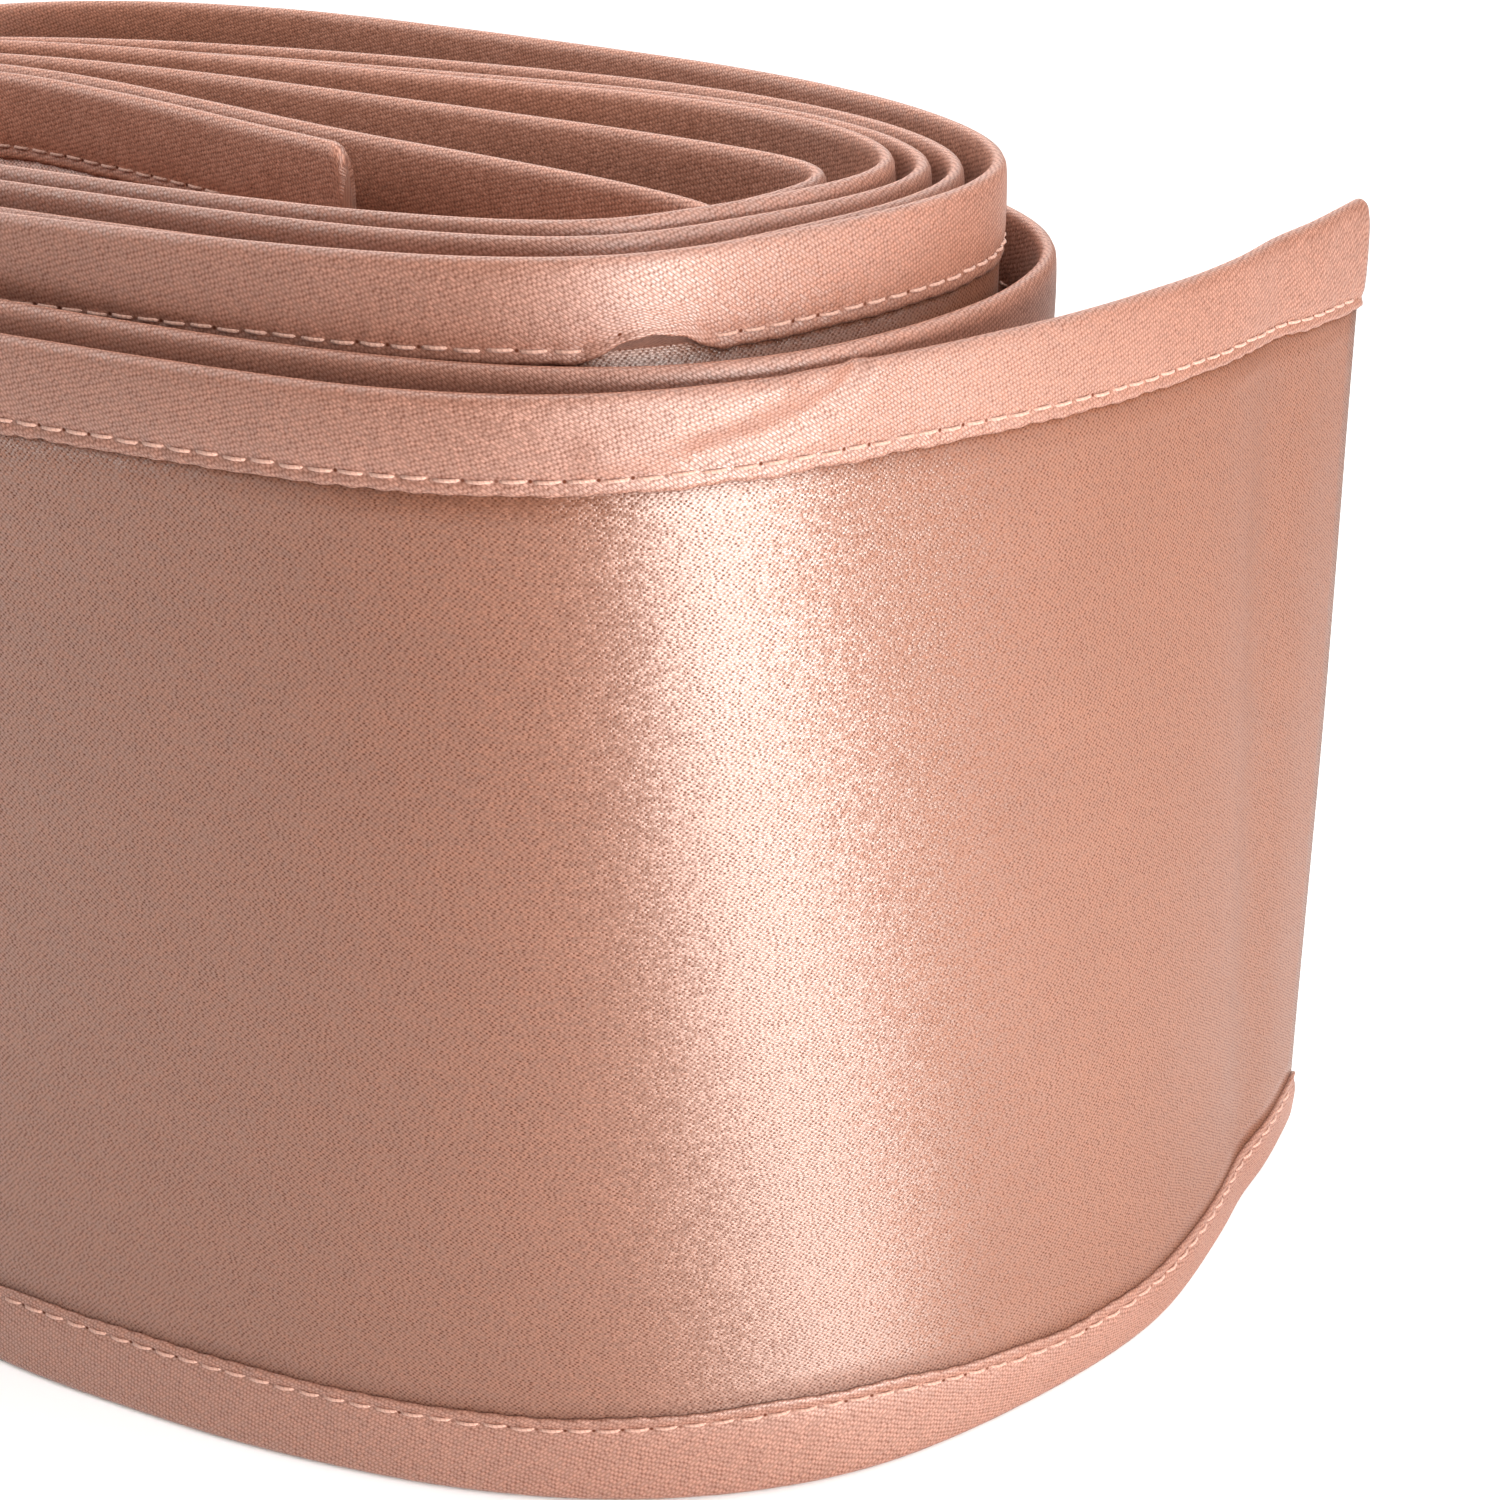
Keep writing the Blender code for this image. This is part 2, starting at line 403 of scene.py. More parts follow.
FOLD_LINES = (
    # the upper binding's fold in the photographed front, and one like it at the back
    FoldLine(((91.0, 95.0), (87.5, 95.4), (82.5, 96.6), (79.0, 98.0), (76.5, 99.8)), 0.75, -0.75),
    FoldLine(((98.0, 95.4), (93.5, 96.6), (88.5, 97.8), (84.0, 99.2)), 1.30, 0.40),
    FoldLine(((318.0, 94.0), (323.0, 95.2), (327.0, 97.0), (330.0, 99.6)), 0.70, -0.40),
    FoldLine(((196.0, 94.2), (192.5, 95.6), (190.5, 97.8)), 0.60, -0.28),
)


MAIN_CREASES = (
    # the free end: a soft upright bend, and the belt's stiffer last stretch beyond it
    Crease(18.5, 50.0, 1.0, 50.0, 5.2, -1.15),
    Crease(33.0, 60.0, -3.0, 70.0, 9.0, 0.25),
    # long soft waves of the front panel
    Crease(104.0, 35.0, 4.0, 60.0, 10.0, 0.18),
    Crease(131.0, 55.0, -5.0, 55.0, 11.0, -0.22),
    Crease(163.0, 40.0, 6.0, 60.0, 9.0, 0.30),
    Crease(205.0, 60.0, -4.0, 50.0, 8.0, -0.28),
    # the back, as soft as the front
    Crease(262.0, 45.0, 5.0, 60.0, 9.0, 0.35),
    Crease(300.0, 58.0, -6.0, 50.0, 12.0, -0.40),
    Crease(348.0, 40.0, 3.0, 65.0, 8.0, 0.32),
    Crease(401.0, 55.0, -7.0, 45.0, 10.0, -0.30),
    Crease(437.0, 50.0, 2.0, 60.0, 7.0, 0.24),
    Crease(690.0, 55.0, -6.0, 55.0, 9.0, -0.30),
    Crease(742.0, 45.0, 4.0, 60.0, 11.0, 0.30),
    Crease(2546.0, 60.0, 3.0, 60.0, 8.0, 0.40),
    Crease(2580.0, 50.0, -2.0, 60.0, 6.0, -0.30),
)


@dataclass(frozen=True)
class LipArch:
    """A short place where the stitching missed the lip, and it lifts off the satin."""

    distance: float = 894.2
    half_length: float = 5.8
    rise: float = 1.9
    lift: float = 0.55

    def share(self, distance: np.ndarray) -> np.ndarray:
        """Return the share of the arch's full height, from 0 to 1, at distances along the belt."""
        reach = np.clip(np.abs(distance - self.distance) / self.half_length, 0.0, 1.0)
        return (1.0 - reach ** 2.6) ** 2


@dataclass(frozen=True)
class Relief:
    """Everything that moves the belt's middle surface in and out."""

    path_length: float
    creases: tuple[Crease, ...] = MAIN_CREASES
    fold_lines: tuple[FoldLine, ...] = FOLD_LINES
    fine_spacing: float = 9.0
    fine_lift: float = 0.07
    fine_heights: tuple[float, float] = (4.5, 96.0)
    seed: int = 17

    def fine_creases(self) -> list[Crease]:
        """Scatter the small drag lines that a bias binding has.

        Returns:
            Short slanting creases on both bindings.
        """
        rng = np.random.default_rng(self.seed)
        found = []
        for at in np.arange(0.5 * self.fine_spacing, self.path_length, self.fine_spacing):
            for height in self.fine_heights:
                shift, slant, length, width, lift = rng.uniform((-4, 28, 2.2, 0.7, -1), (4, 62, 4.6, 1.5, 1))
                slant *= rng.choice((-1.0, 1.0))
                lift *= self.fine_lift
                found.append(Crease(at + shift, height + rng.uniform(-1, 1), slant, length, width, lift))
        return found

    def at(self, distance: np.ndarray, height: np.ndarray, fine: bool = False) -> np.ndarray:
        """Add up the creases.

        Args:
            distance: how far along the belt.
            height: how high across it.
            fine: whether the bindings' small drag lines count too.

        Returns:
            The offsets outwards.
        """
        distance, height = np.broadcast_arrays(distance, height)
        total = np.zeros(distance.shape)
        for crease in self.creases + (tuple(self.fine_creases()) if fine else ()):
            reach = 2.2 * max(crease.width, crease.length)
            rows = np.flatnonzero(np.abs(distance[:, 0] - crease.distance) < reach)
            if len(rows):
                total[rows] += crease.at(distance[rows], height[rows])
        for line in self.fold_lines if fine else ():
            total += line.at(distance, height)
        return total


def ripple(distance: np.ndarray, length: float, seed: int) -> np.ndarray:
    """Make an uneven wave that repeats nowhere near.

    Args:
        distance: how far along the belt.
        length: the wave's rough length.
        seed: which of many such waves.

    Returns:
        Values from about -1 to 1.
    """
    rng = np.random.default_rng(seed)
    total = np.zeros(np.shape(distance))
    for share in (0.37, 0.33, 0.30):
        waves = distance / (length * rng.uniform(0.6, 1.7))
        total += share * np.sin(2 * math.pi * waves + rng.uniform(0, 6.3))
    return total


class Wire:
    """A number on a socket. Arithmetic on it adds Math nodes."""

    def __init__(self, bench: Bench, socket: bpy.types.NodeSocket) -> None:
        """Hold an output of one of the material's nodes."""
        self.bench = bench
        self.socket = socket

    def math(self, operation: str, *others: Number) -> Wire:
        """Add one Math node on this number and the others, and return its result."""
        inputs = dict(enumerate((self, *others)))
        return self.bench.wire("ShaderNodeMath", {"operation": operation}, inputs)

    def __add__(self, other: Number) -> Wire:
        """Return self + other."""
        return self.math("ADD", other)

    __radd__ = __add__

    def __sub__(self, other: Number) -> Wire:
        """Return self - other."""
        return self.math("SUBTRACT", other)

    def __rsub__(self, other: Number) -> Wire:
        """Return other - self."""
        return (self * -1.0).math("ADD", other)

    def __mul__(self, other: Number) -> Wire:
        """Return self * other."""
        return self.math("MULTIPLY", other)

    __rmul__ = __mul__

    def __truediv__(self, other: Number) -> Wire:
        """Return self / other."""
        return self.math("DIVIDE", other)

    def __pow__(self, other: Number) -> Wire:
        """Return self ** other."""
        return self.math("POWER", other)

    def __abs__(self) -> Wire:
        """Return abs(self)."""
        return self.math("ABSOLUTE")

    def floor(self) -> Wire:
        """Return the whole number below."""
        return self.math("FLOOR")

    def fraction(self) -> Wire:
        """Return what is past the whole number below."""
        return self.math("FRACT")

    def step(self, low: float, high: float) -> Wire:
        """Ease from 0 at low to 1 at high.

        Args:
            low: where the result is 0.
            high: where the result is 1; it may be the smaller of the two.

        Returns:
            The eased share.
        """
        settings = {"interpolation_type": "SMOOTHSTEP"}
        flip = low > high
        inputs = {"Value": self, "From Min": min(low, high), "From Max": max(low, high)}
        inputs |= {"To Min": 1.0, "To Max": 0.0} if flip else {"To Min": 0.0, "To Max": 1.0}
        return self.bench.wire("ShaderNodeMapRange", settings, inputs, "Result")


Number = Union[Wire, float]


class Bench:
    """A material's node tree, with short ways to add nodes."""

    def __init__(self, name: str) -> None:
        """Make an empty material.

        Args:
            name: the material's name.
        """
        self.material = bpy.data.materials.new(name)
        self.material.use_nodes = True
        self.tree = self.material.node_tree
        self.shader = self.tree.nodes["Principled BSDF"]

    def node(self, kind: str, settings: dict[str, Any], inputs: dict[Any, Any]) -> bpy.types.Node:
        """Add a node.

        Args:
            kind: the node's type.
            settings: its own settings, set first.
            inputs: values or wires for its inputs, by name or number.

        Returns:
            The node.
        """
        node = self.tree.nodes.new(kind)
        for name, value in settings.items():
            setattr(node, name, value)
        for name, value in inputs.items():
            self.feed(node.inputs[name], value)
        return node

    def wire(self, kind: str, settings: dict[str, Any], inputs: dict[Any, Any], output: Any = 0) -> Wire:
        """Add a node and return one of its outputs, by name or number."""
        return Wire(self, self.node(kind, settings, inputs).outputs[output])

    def feed(self, socket: bpy.types.NodeSocket, value: Any) -> None:
        """Link a wire to a socket, or set its value.

        Args:
            socket: the input.
            value: a wire, a number, a colour or a vector.
        """
        if isinstance(value, Wire):
            self.tree.links.new(value.socket, socket)
        elif socket.type == "RGBA" and len(value) == 3:
            socket.default_value = (*value, 1.0)
        else:
            socket.default_value = value

    def blend(self, share: Number, first: Any, second: Any, kind: str = "MIX") -> Wire:
        """Mix a share of the second colour into the first, in a Mix node's blend type."""
        settings = {"data_type": "RGBA", "blend_type": kind}
        return self.wire("ShaderNodeMix", settings, {"Factor": share, 6: first, 7: second}, 2)

    def vector(self, x: Number, y: Number, z: Number = 0.0) -> Wire:
        """Join three numbers into a vector."""
        return self.wire("ShaderNodeCombineXYZ", {}, {"X": x, "Y": y, "Z": z})

    def noise(self, place: Wire, detail: float = 2.0) -> Wire:
        """Return soft noise about 0.5 at a vector, one blotch a unit."""
        return self.wire("ShaderNodeTexNoise", {}, {"Vector": place, "Scale": 1.0, "Detail": detail})

    def chance(self, place: Wire) -> Wire:
        """Return an unrelated number from 0 to 1 for every place."""
        return self.wire("ShaderNodeTexWhiteNoise", {"noise_dimensions": "3D"}, {"Vector": place}, "Value")

    def place(self) -> tuple[Wire, Wire, Wire]:
        """Read the belt place that the mesh carries.

        Returns:
            The distance, the width round the section and the distance from the lip, in millimetres.
        """
        read = self.wire("ShaderNodeAttribute", {"attribute_name": PLACE}, {}, "Vector")
        apart = self.node("ShaderNodeSeparateXYZ", {}, {"Vector": read})
        return tuple(Wire(self, apart.outputs[name]) for name in ("X", "Y", "Z"))

    def reverse(self) -> Wire:
        """Return 1 on the belt's inner face and 0 on its outer one."""
        return self.wire("ShaderNodeAttribute", {"attribute_name": REVERSE}, {}, "Fac")

    def finish(self, values: dict[str, Any], height: Wire, relief: float) -> bpy.types.Material:
        """Feed the shader.

        Args:
            values: wires or numbers for the shader's own inputs.
            height: the surface's fine height, from 0 to 1.
            relief: how many millimetres that height stands for.

        Returns:
            The finished material.
        """
        bump = {"Height": height, "Distance": relief * MM, "Strength": 1.0}
        values = values | {"Normal": self.wire("ShaderNodeBump", {}, bump)}
        for name, value in values.items():
            self.feed(self.shader.inputs[name], value)
        return self.material

    def darken(self, share: Wire, colour: Colour) -> None:
        """Paint shade into the depths between the threads, with a dark, rough shader mixed in there.

        Args:
            share: 1 where only the painted shade shows.
            colour: the painted shade's colour.
        """
        inputs = {"Base Color": colour, "Roughness": 0.9, "Specular IOR Level": 0.15}
        dull_shade = self.wire("ShaderNodeBsdfPrincipled", {}, inputs)
        glossy = Wire(self, self.shader.outputs[0])
        both = self.wire("ShaderNodeMixShader", {}, {0: share, 1: glossy, 2: dull_shade})
        self.feed(self.tree.nodes["Material Output"].inputs["Surface"], both)


ROW_SEED = 7.3      # parts the noise of neighbouring rows
END_SEED = 5.0      # parts the chances of the floats' ends from those of the floats
HOLE_SEED = 3.0


@dataclass(frozen=True)
class SatinWeave:
    """Threads of the satin: long floats in shifted rows, with a gap where two floats meet, sunk in the
    relief and dark with painted shade.
    """

    float_pitch: float = 0.50
    row_pitch: float = 0.20
    shift: float = 0.4       # of a float, from each row to the next
    slant: float = 0.0       # degrees between the floats and the belt
    gap_start: float = 0.30  # share of a float's half length that is free of the gap
    gap_full: float = 0.90   # share of it where the gap is deepest
    row_line: float = 0.30   # depth of the line between two rows, sunk in the relief and dark with painted shade
    dot_depth: float = 1.0
    least_dot: float = 0.45  # share of that depth in the shallowest gap
    tilt: float = 3.0        # how unevenly the floats lie
    unevenness: float = 0.8  # how far a float's ends stray, in floats
    stray_length: float = 0.9
    sway: float = 0.30       # millimetres that the rows wander
    sway_rate: float = 0.22  # wanderings a millimetre

    def threads(self, bench: Bench, along: Wire, across: Wire) -> tuple[Wire, Wire, Wire]:
        """Build the weave's masks.

        Args:
            bench: the material.
            along: the distance along the belt.
            across: the width across it.

        Returns:
            1 in the gaps and 0 on the floats, which also places the painted shade; the height from 0 to 1;
            and a number for each float.
        """
        cos, sin = math.cos(math.radians(self.slant)), math.sin(math.radians(self.slant))
        sway = bench.noise(bench.vector(along * self.sway_rate, across * self.sway_rate), 1.0) - 0.5
        u = along * cos + across * sin
        v = across * cos - along * sin + sway * self.sway
        row = v / self.row_pitch
        line = row.floor()
        stray = bench.noise(bench.vector(u / self.stray_length, line * ROW_SEED), 0.0) - 0.5
        float_place = u / self.float_pitch + line * self.shift + stray * self.unevenness
        way = float_place.fraction()
        end = (float_place + 0.5).floor()
        chance = bench.chance(bench.vector(line, float_place.floor()))
        luck = bench.chance(bench.vector(line, end, END_SEED))
        strength = (luck * (1.0 - self.least_dot) + self.least_dot) * self.dot_depth
        side = abs(row.fraction() * 2.0 - 1.0)
        dot = abs(way * 2.0 - 1.0).step(self.gap_start, self.gap_full) * (1.0 - side ** 2.0 * 0.8) * strength
        gap = dot.math("MAXIMUM", side ** 4.0 * self.row_line)
        height = (1.0 - gap) * (1.0 - side ** 2.0 * 0.5) + (chance - 0.5) * (way - 0.5) * self.tilt
        return gap, height, chance


@dataclass(frozen=True)
class SatinFinish:
    """The satin's colours and gloss, and how its threads run."""

    name: str
    face: Colour
    gap: Colour          # painted shade between the threads and in the needle holes
    blush: Colour        # in the face's paler clouds
    reverse: Colour      # on the belt's inner face: partly its matt reverse's own colour, partly painted light that lightens the hollow
    roughness: float
    anisotropic: float
    sheen: float
    specular: float
    weave: SatinWeave
    ior: float = 1.85
    specular_tint: Colour = (1.0, 0.885, 0.825)
    # how much painted shade fills the gaps
    gap_depth: float = 0.95
    thread_relief: float = 0.020
    cloud_size: tuple[float, float] = (14.0, 9.0)
    slub_size: tuple[float, float] = (6.0, 0.35)
    holes: bool = False
    hole_radii: tuple[float, float] = (0.24, 0.10)
    stitch_pitch: float = STITCH_PITCH
    stitch_line: float = STITCH_LINE

    def needle_holes(self, bench: Bench, along: Wire, lip: Wire) -> Wire:
        """Mark the needle's holes between the stitches.

        Args:
            bench: the material.
            along: the distance along the belt.
            lip: the distance from the binding's lip.

        Returns:
            1 in a hole and 0 elsewhere.
        """
        turn = along / self.stitch_pitch + 0.5
        off = (turn.fraction() - 0.5) * self.stitch_pitch
        away = (off * off + (lip - self.stitch_line) ** 2.0) ** 0.5
        size = bench.chance(bench.vector(turn.floor(), HOLE_SEED))
        return away.step(*self.hole_radii) * size.step(0.25, 0.75)

    def material(self) -> bpy.types.Material:
        """Make the material.

        Returns:
            The satin.
        """
        bench = Bench(self.name)
        along, across, lip = bench.place()
        gap, height, chance = self.weave.threads(bench, along, across)
        cloud_length, cloud_height = self.cloud_size
        slub_length, slub_height = self.slub_size
        cloud = bench.noise(bench.vector(along / cloud_length, across / cloud_height, 2.0), 3.0)
        slub = bench.noise(bench.vector(along / slub_length, across / slub_height, 7.0), 1.0)
        face = bench.blend(cloud.step(0.35, 0.70) * 0.55, self.face, self.blush)
        # the inner face takes the reverse colour: partly its own, partly painted light in the hollow
        face = bench.blend(bench.reverse(), face, self.reverse)
        shade = 0.80 + chance * 0.26 + slub * 0.18
        face = bench.blend(1.0, face, bench.vector(shade, shade, shade), "MULTIPLY")
        # the gaps' share of painted shade
        gap = gap * self.gap_depth
        if self.holes:
            # the needle holes get the gaps' painted shade and sink in the relief
            hole = self.needle_holes(bench, along, lip)
            gap = gap.math("MAXIMUM", hole)
            height = height * (1.0 - hole)
        values = {
            "Base Color": face,
            "Roughness": self.roughness + (cloud - 0.5) * 0.12 + (chance - 0.5) * 0.08,
            "Anisotropic": self.anisotropic,
            "Anisotropic Rotation": 0.25,
            "Sheen Weight": self.sheen,
            "Sheen Roughness": 0.45,
            "Sheen Tint": (1.0, 0.82, 0.74, 1.0),
            "Specular IOR Level": self.specular,
            "Specular Tint": (*self.specular_tint, 1.0),
            "IOR": self.ior,
        }
        # paint shade into the gaps and needle holes with the gap colour
        bench.darken(gap, self.gap)
        return bench.finish(values, height, self.thread_relief)


@dataclass(frozen=True)
class ThreadFinish:
    """The topstitching's twisted thread."""

    name: str = "topstitch_thread"
    colour: Colour = (0.50, 0.28, 0.21)
    # painted shade in the valleys between the thread's plies
    valley: Colour = (0.24, 0.10, 0.065)
    ply_pitch: float = 0.42
    roughness: float = 0.58

    def material(self) -> bpy.types.Material:
        """Make the material.

        Returns:
            The thread.
        """
        bench = Bench(self.name)
        along, around, _ = bench.place()
        ply = abs((along / self.ply_pitch + around).fraction() * 2.0 - 1.0)
        # the valleys between the plies get painted shade, and sink in the relief
        colour = bench.blend(ply.step(0.75, 1.0) * 0.7, self.colour, self.valley)
        values = {
            "Base Color": colour,
            "Roughness": self.roughness + ply * 0.1,
            "Sheen Weight": 0.3,
            "Sheen Tint": (1.0, 0.85, 0.78, 1.0),
        }
        return bench.finish(values, 1.0 - ply, 0.03)


def tube_faces(tubes: int, rings: int, corners: int) -> list[list[int]]:
    """List the faces of closed tubes whose points come tube by tube and ring by ring.

    Args:
        tubes: how many tubes there are.
        rings: how many rings each has.
        corners: how many corners each ring has.

    Returns:
        The quads round the tubes, and the caps at their two ends.
    """
    first = np.arange(tubes)[:, None, None] * rings * corners
    start = first + np.arange(rings - 1)[None, :, None] * corners
    here = np.arange(corners)[None, None, :]
    after = (here + 1) % corners
    quads = np.stack((start + here, start + after, start + corners + after, start + corners + here), -1)
    last = first + (rings - 1) * corners
    caps = np.concatenate((first[:, 0] + here[0, :, ::-1], last[:, 0] + here[0]))
    return quads.reshape(-1, 4).tolist() + caps.tolist()


def skin(name: str, points: np.ndarray, places: np.ndarray, finish: bpy.types.Material,
         reverse: Optional[np.ndarray] = None) -> bpy.types.Object:
    """Skin closed tubes as one smooth mesh, and put it in the scene.

    Args:
        name: the piece's name.
        points: tube, ring, corner and x, y, z in metres.
        places: the same with the three numbers of the belt place.
        finish: the material.
        reverse: for each corner 1 on the belt's inner face and 0 on its outer one.

    Returns:
        The piece.
    """
    tubes, rings, corners = points.shape[:3]
    mesh = bpy.data.meshes.new(name)
    mesh.from_pydata(points.reshape(-1, 3).tolist(), [], tube_faces(tubes, rings, corners))
    held = mesh.attributes.new(PLACE, "FLOAT_VECTOR", "POINT")
    held.data.foreach_set("vector", places.astype(np.float32).ravel())
    if reverse is not None:
        shares = mesh.attributes.new(REVERSE, "FLOAT", "POINT")
        shares.data.foreach_set("value", np.tile(reverse, tubes * rings).astype(np.float32))
    mesh.validate()
    mesh.shade_smooth()
    mesh.materials.append(finish)
    piece = bpy.data.objects.new(name, mesh)
    bpy.context.scene.collection.objects.link(piece)
    return piece


@dataclass(frozen=True)
class BeltBody:
    """The belt's satin between its two bindings, as a thin shell."""

    path: WoundPath
    relief: Relief
    wall: float = 0.8
    tuck: float = 0.9            # how far it reaches under each binding
    step: float = 2.2
    rows: int = 26
    swell: float = 0.22          # how far it rounds out between the bindings
    end_inset: float = 0.6
    lip_distance: float = 50.0   # far from any lip, so no needle holes

    def build(self, name: str, start: float, end: float, finish: bpy.types.Material) -> bpy.types.Object:
        """Build one stretch.

        Args:
            name: the piece's name.
            start: where it starts along the belt.
            end: where it ends.
            finish: the satin.

        Returns:
            The piece.
        """
        first, last = self.path.bounds[0], self.path.bounds[-1]
        start = start + self.end_inset if start == first else start
        end = end - self.end_inset if end == last else end
        distance = np.linspace(start, end, int((end - start) / self.step) + 2)[:, None]
        low = self.path.binding_width(Edge.LOWER, distance) - self.tuck
        high = self.path.width - self.path.binding_width(Edge.UPPER, distance) + self.tuck
        share = np.linspace(0.0, 1.0, self.rows)[None, :]
        height = low + (high - low) * share
        middle = self.relief.at(distance, height) + self.swell * np.sin(math.pi * share) ** 2
        half = 0.5 * self.wall
        outer = self.path.place(distance, height, middle + half)
        inner = self.path.place(distance, height, middle - half)
        points = np.concatenate((outer, inner[:, ::-1]), axis=1)
        along = np.broadcast_to(distance, height.shape)
        places = np.stack((along, height, np.full(height.shape, self.lip_distance)), axis=-1)
        places = np.concatenate((places, places[:, ::-1]), axis=1)
        return skin(name, points[None], places[None], finish, np.repeat((0.0, 1.0), self.rows))


class LipPoint(NamedTuple):
    """A corner of a binding's section: its place from lip to fold, and its offset."""

    rise: float          # millimetres from the lip
    fold_share: float    # added share of the binding's width
    offset: float


SECTION = (
    LipPoint(0.10, 0.0, 0.36),
    LipPoint(0.00, 0.0, 0.56),
    LipPoint(0.13, 0.0, 0.72),
    LipPoint(0.42, 0.0, 0.77),
    LipPoint(0.80, 0.0, 0.70),
    LipPoint(1.15, 0.0, 0.61),
    LipPoint(1.55, 0.0, 0.70),
    LipPoint(2.15, 0.0, 0.79),
    LipPoint(1.60, 0.19, 0.82),
    LipPoint(1.30, 0.36, 0.83),
    LipPoint(0.95, 0.53, 0.82),
    LipPoint(0.60, 0.69, 0.79),
    LipPoint(0.20, 0.83, 0.75),
    LipPoint(-0.62, 1.0, 0.68),
    LipPoint(-0.20, 1.0, 0.46),
    LipPoint(-0.04, 1.0, 0.18),
)


@dataclass(frozen=True)
class Binding:
    """A bias strip, folded over a long edge and stitched down near its two lips."""

    path: WoundPath
    relief: Relief
    arch: LipArch
    edge: Edge
    pitch: float = STITCH_PITCH
    stitch_line: float = STITCH_LINE
    samples: int = 4             # rings for each stitch
    pucker: float = 0.065
    pucker_width: float = 1.2
    lip_wave: float = 0.10
    lip_drift: float = 0.12
    drift_length: float = 9.0
    free_width: float = 2.4      # how much of it moves with the lip
    pinned: float = 0.3          # from the lip itself to where the puckers are full
    puff: float = 0.05
    arch_width: float = 4.2
    lift_width: float = 3.4
    corner: float = 1.7          # radius of the corners at the belt's two ends

    def height(self, distance: np.ndarray, from_lip: np.ndarray) -> np.ndarray:
        """Turn a distance from the lip into a height across the belt.

        Args:
            distance: how far along the belt.
            from_lip: how far from the lip towards the fold.

        Returns:
            The heights.
        """
        width = self.path.binding_width(self.edge, distance)
        if self.edge is Edge.UPPER:
            return self.path.width - width + from_lip
        return width - from_lip

    def lip_shift(self, distance: np.ndarray, side: Side) -> np.ndarray:
        """Work out how far the lip itself strays towards the fold.

        Args:
            distance: how far along the belt.
            side: the belt's face.

        Returns:
            The shifts.
        """
        seed = 3 + (side is Side.INNER) + 2 * (self.edge is Edge.LOWER)
        wave = self.lip_wave * np.cos(2 * math.pi * distance / self.pitch)
        return wave * (0.6 + 0.4 * ripple(distance, 21.0, seed)) + self.lip_drift * ripple(
            distance, self.drift_length, seed + 9)

    def face(self, distance: np.ndarray, from_lip: np.ndarray, side: Side) -> np.ndarray:
        """Work out the puckers that the stitches pull into a face.

        Args:
            distance: how far along the belt.
            from_lip: how far from the lip.
            side: the belt's face.

        Returns:
            Offsets out of the binding's plain section.
        """
        seed = 31 + (side is Side.INNER) + 2 * (self.edge is Edge.LOWER)
        depth = self.pucker * (0.75 + 0.5 * ripple(distance, 13.0, seed))
        near = np.exp(-((from_lip - self.stitch_line) / self.pucker_width) ** 2)
        puff = self.puff * ripple(distance, 17.0, seed + 5) * np.clip(from_lip / 3.0, 0.0, 1.0)
        return -depth * near * np.cos(2 * math.pi * distance / self.pitch) + puff

    def end_share(self, distance: np.ndarray) -> np.ndarray:
        """Work out how far the fold draws back at the belt's two rounded ends.

        Args:
            distance: how far along the belt.

        Returns:
            Millimetres that the fold lies lower.
        """
        left = np.minimum(distance - self.path.bounds[0], self.path.bounds[-1] - distance)
        inside = np.clip(1.0 - left / self.corner, 0.0, 1.0)
        return self.corner * (1.0 - np.sqrt(1.0 - inside ** 2))

    def half_ring(self, distance: np.ndarray, side: Side) -> tuple[np.ndarray, np.ndarray, np.ndarray]:
        """Work out one face of the binding from its lip to its fold.

        Args:
            distance: how far along the belt, one row each.
            side: the belt's face.

        Returns:
            Heights, offsets and distances from the lip.
        """
        rise, share, offset = (np.array(column)[None, :] for column in zip(*SECTION))
        width = self.path.binding_width(self.edge, distance)
        from_lip = rise + share * width
        free = np.clip(1.0 - from_lip / self.free_width, 0.0, 1.0)
        moved = from_lip + self.lip_shift(distance, side) * free
        lifted = offset + self.face(distance, from_lip, side) * np.clip(from_lip / self.pinned, 0.3, 1.0)
        if self.edge is Edge.UPPER and side is Side.OUTER:
            arch = self.arch.share(distance)
            moved = moved + self.arch.rise * arch * np.clip(1.0 - from_lip / self.arch_width, 0.0, 1.0)
            lifted = lifted + self.arch.lift * arch * np.clip(1.0 - from_lip / self.lift_width, 0.0, 1.0)
        moved = moved - self.end_share(distance) * np.clip(from_lip / width, 0.0, 1.0)
        return self.height(distance, moved), side.value * lifted, from_lip + 0.0 * distance

    def build(self, name: str, start: float, end: float, finish: bpy.types.Material) -> bpy.types.Object:
        """Build one stretch.

        Args:
            name: the piece's name.
            start: where it starts along the belt.
            end: where it ends.
            finish: the bias satin.

        Returns:
            The piece.
        """
        step = self.pitch / self.samples
        inside = step * np.arange(math.floor(start / step) + 1, math.ceil(end / step))
        distance = np.concatenate(([start], inside[(inside > start) & (inside < end)], [end]))[:, None]
        halves = [self.half_ring(distance, side) for side in (Side.OUTER, Side.INNER)]
        height = np.concatenate((halves[0][0], halves[1][0][:, ::-1]), axis=1)
        offset = np.concatenate((halves[0][1], halves[1][1][:, ::-1]), axis=1)
        lip = np.concatenate((halves[0][2], halves[1][2][:, ::-1]), axis=1)
        middle = self.relief.at(distance, height, fine=True)
        points = self.path.place(distance, height, middle + offset)
        around = np.hypot(np.diff(height, axis=1), np.diff(offset, axis=1)).mean(axis=0)
        round_place = np.broadcast_to(np.concatenate(([0.0], np.cumsum(around))), height.shape)
        along = np.broadcast_to(distance, height.shape)
        places = np.stack((along, round_place, lip), axis=-1)
        reverse = np.repeat((0.0, 1.0), len(SECTION))
        if self.edge is Edge.LOWER:
            points, places, reverse = points[:, ::-1], places[:, ::-1], reverse[::-1]
        return skin(name, points[None], places[None], finish, reverse)


